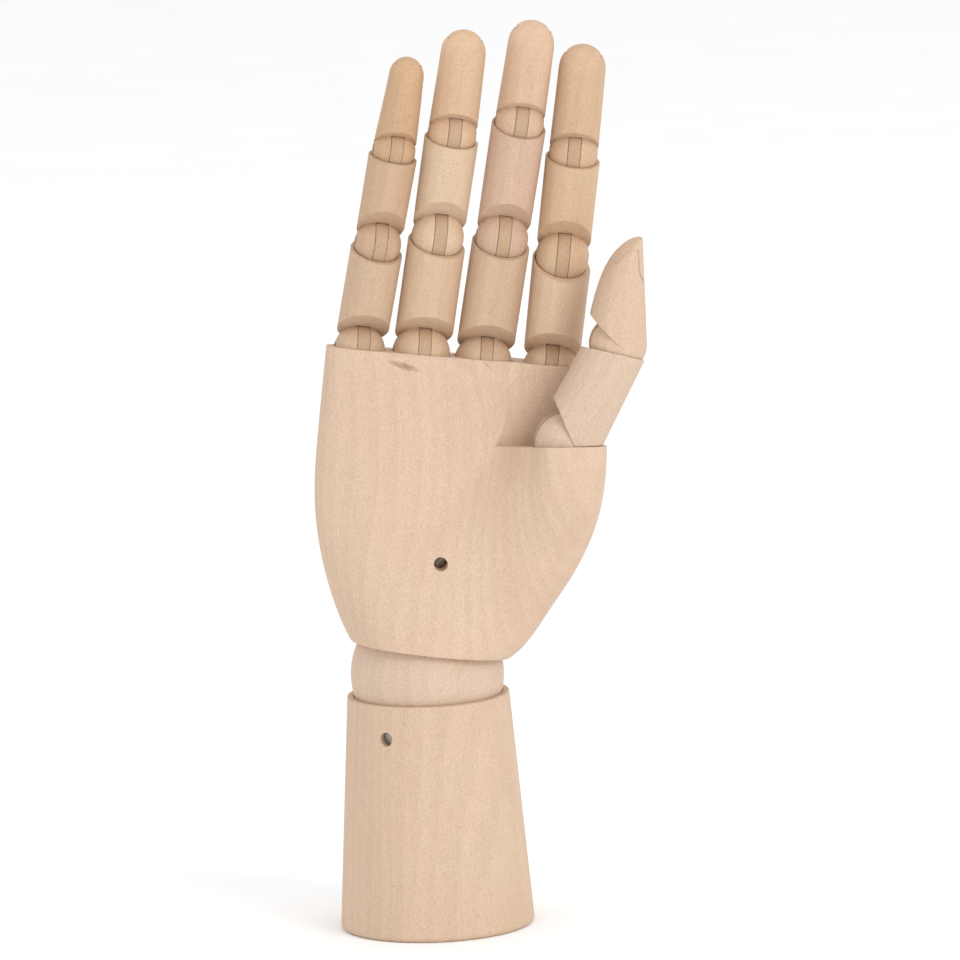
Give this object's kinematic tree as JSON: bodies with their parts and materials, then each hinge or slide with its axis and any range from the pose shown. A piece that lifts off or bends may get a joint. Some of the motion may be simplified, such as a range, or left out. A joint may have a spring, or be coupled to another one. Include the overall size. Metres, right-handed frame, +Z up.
{
  "type": "jointed wooden artist's hand",
  "caption": "Life-like wooden artist's hand on a tapered round base, with jointed fingers and thumb and a sprung ball wrist.",
  "frame": {"origin": "centre of the flat bottom of the base", "axes": "+Z up, palm faces -Y, thumb on +X"},
  "size_m": [0.0897, 0.0605, 0.248],
  "materials": {
    "base_wood": "fine sanded, unvarnished",
    "ball_wood": "fine sanded, unvarnished",
    "palm_wood": "fine sanded, unvarnished",
    "finger_wood": "fine sanded, unvarnished",
    "thumb_wood": "fine sanded, unvarnished",
    "tongue_wood": "fine sanded, unvarnished",
    "steel": "dull cut wire",
    "spring_steel": "drawn wire"
  },
  "bodies": {
    "base": {"base": "base_wood", "base_spring_pin": "steel"},
    "wrist_ball": {"wrist_ball": "ball_wood"},
    "wrist_spring": {"wrist_spring": "spring_steel"},
    "palm": {"palm": "palm_wood", "palm_spring_pin": "steel", "pinky_mcp_tongue": "tongue_wood", "ring_mcp_tongue": "tongue_wood", "middle_mcp_tongue": "tongue_wood", "index_mcp_tongue": "tongue_wood", "thumb_mcp_tongue": "tongue_wood"},
    "pinky_proximal": {"pinky_proximal": "finger_wood", "pinky_mcp_pin": "steel", "pinky_pip_tongue": "tongue_wood"},
    "pinky_middle": {"pinky_middle": "finger_wood", "pinky_pip_pin": "steel", "pinky_dip_tongue": "tongue_wood"},
    "pinky_distal": {"pinky_distal": "finger_wood", "pinky_dip_pin": "steel"},
    "ring_proximal": {"ring_proximal": "finger_wood", "ring_mcp_pin": "steel", "ring_pip_tongue": "tongue_wood"},
    "ring_middle": {"ring_middle": "finger_wood", "ring_pip_pin": "steel", "ring_dip_tongue": "tongue_wood"},
    "ring_distal": {"ring_distal": "finger_wood", "ring_dip_pin": "steel"},
    "middle_proximal": {"middle_proximal": "finger_wood", "middle_mcp_pin": "steel", "middle_pip_tongue": "tongue_wood"},
    "middle_middle": {"middle_middle": "finger_wood", "middle_pip_pin": "steel", "middle_dip_tongue": "tongue_wood"},
    "middle_distal": {"middle_distal": "finger_wood", "middle_dip_pin": "steel"},
    "index_proximal": {"index_proximal": "finger_wood", "index_mcp_pin": "steel", "index_pip_tongue": "tongue_wood"},
    "index_middle": {"index_middle": "finger_wood", "index_pip_pin": "steel", "index_dip_tongue": "tongue_wood"},
    "index_distal": {"index_distal": "finger_wood", "index_dip_pin": "steel"},
    "thumb_proximal": {"thumb_proximal": "thumb_wood", "thumb_mcp_pin": "steel", "thumb_ip_tongue": "tongue_wood"},
    "thumb_distal": {"thumb_distal": "thumb_wood", "thumb_ip_pin": "steel"}
  },
  "joints": [
    {"name": "wrist_twist", "type": "hinge", "parent": "base", "child": "wrist_ball", "pos_m": [0, 0, 0.0693], "axis": [0, 0, 1], "range_deg": [-90, 90]},
    {"name": "wrist_bend", "type": "hinge", "parent": "wrist_ball", "child": "wrist_spring", "pos_m": [0, 0, 0.0693], "axis": [1, 0, 0], "range_deg": [-27.5, 16.5], "deforming": ["wrist_spring"]},
    {"name": "wrist_tilt", "type": "hinge", "parent": "wrist_spring", "child": "palm", "pos_m": [0, 0, 0.0693], "axis": [0, 0.9954, 0.0958], "range_deg": [-28.7, 11.3]},
    {"name": "pinky_mcp", "type": "hinge", "parent": "palm", "child": "pinky_proximal", "pos_m": [-0.01498, -0.00569, 0.15968], "axis": [0.9793, 0.0727, -0.1891], "range_deg": [0, 50]},
    {"name": "pinky_pip", "type": "hinge", "parent": "pinky_proximal", "child": "pinky_middle", "pos_m": [-0.00904, -0.00977, 0.1889], "axis": [0.9793, 0.0727, -0.1891], "range_deg": [0, 75]},
    {"name": "pinky_dip", "type": "hinge", "parent": "pinky_middle", "child": "pinky_distal", "pos_m": [-0.00386, -0.01332, 0.21434], "axis": [0.9793, 0.0727, -0.1891], "range_deg": [0, 55]},
    {"name": "ring_mcp", "type": "hinge", "parent": "palm", "child": "ring_proximal", "pos_m": [0.00163, -0.00551, 0.15785], "axis": [0.986, 0.0339, -0.1635], "range_deg": [0, 50]},
    {"name": "ring_pip", "type": "hinge", "parent": "ring_proximal", "child": "ring_middle", "pos_m": [0.00713, -0.01, 0.19008], "axis": [0.986, 0.0339, -0.1635], "range_deg": [0, 75]},
    {"name": "ring_dip", "type": "hinge", "parent": "ring_middle", "child": "ring_distal", "pos_m": [0.01193, -0.01392, 0.21821], "axis": [0.986, 0.0339, -0.1635], "range_deg": [0, 55]},
    {"name": "middle_mcp", "type": "hinge", "parent": "palm", "child": "middle_proximal", "pos_m": [0.01823, -0.0052, 0.15462], "axis": [0.9845, 0.0178, -0.1744], "range_deg": [0, 50]},
    {"name": "middle_pip", "type": "hinge", "parent": "middle_proximal", "child": "middle_middle", "pos_m": [0.02435, -0.00995, 0.18865], "axis": [0.9845, 0.0178, -0.1744], "range_deg": [0, 75]},
    {"name": "middle_dip", "type": "hinge", "parent": "middle_middle", "child": "middle_distal", "pos_m": [0.03004, -0.01436, 0.22034], "axis": [0.9845, 0.0178, -0.1744], "range_deg": [0, 55]},
    {"name": "index_mcp", "type": "hinge", "parent": "palm", "child": "index_proximal", "pos_m": [0.03636, -0.0049, 0.15146], "axis": [0.9886, -0.0575, -0.1393], "range_deg": [0, 38]},
    {"name": "index_pip", "type": "hinge", "parent": "index_proximal", "child": "index_middle", "pos_m": [0.04054, -0.00928, 0.18298], "axis": [0.9886, -0.0575, -0.1393], "range_deg": [0, 75]},
    {"name": "index_dip", "type": "hinge", "parent": "index_middle", "child": "index_distal", "pos_m": [0.0443, -0.01322, 0.21126], "axis": [0.9886, -0.0575, -0.1393], "range_deg": [0, 55]},
    {"name": "thumb_mcp", "type": "hinge", "parent": "palm", "child": "thumb_proximal", "pos_m": [0.03874, -0.02212, 0.13419], "axis": [0, 0.9954, 0.0958], "range_deg": [-40, 0]},
    {"name": "thumb_ip", "type": "hinge", "parent": "thumb_proximal", "child": "thumb_distal", "pos_m": [0.05329, -0.02467, 0.16064], "axis": [0, 0.9954, 0.0958], "range_deg": [-28, 29]}
  ]
}
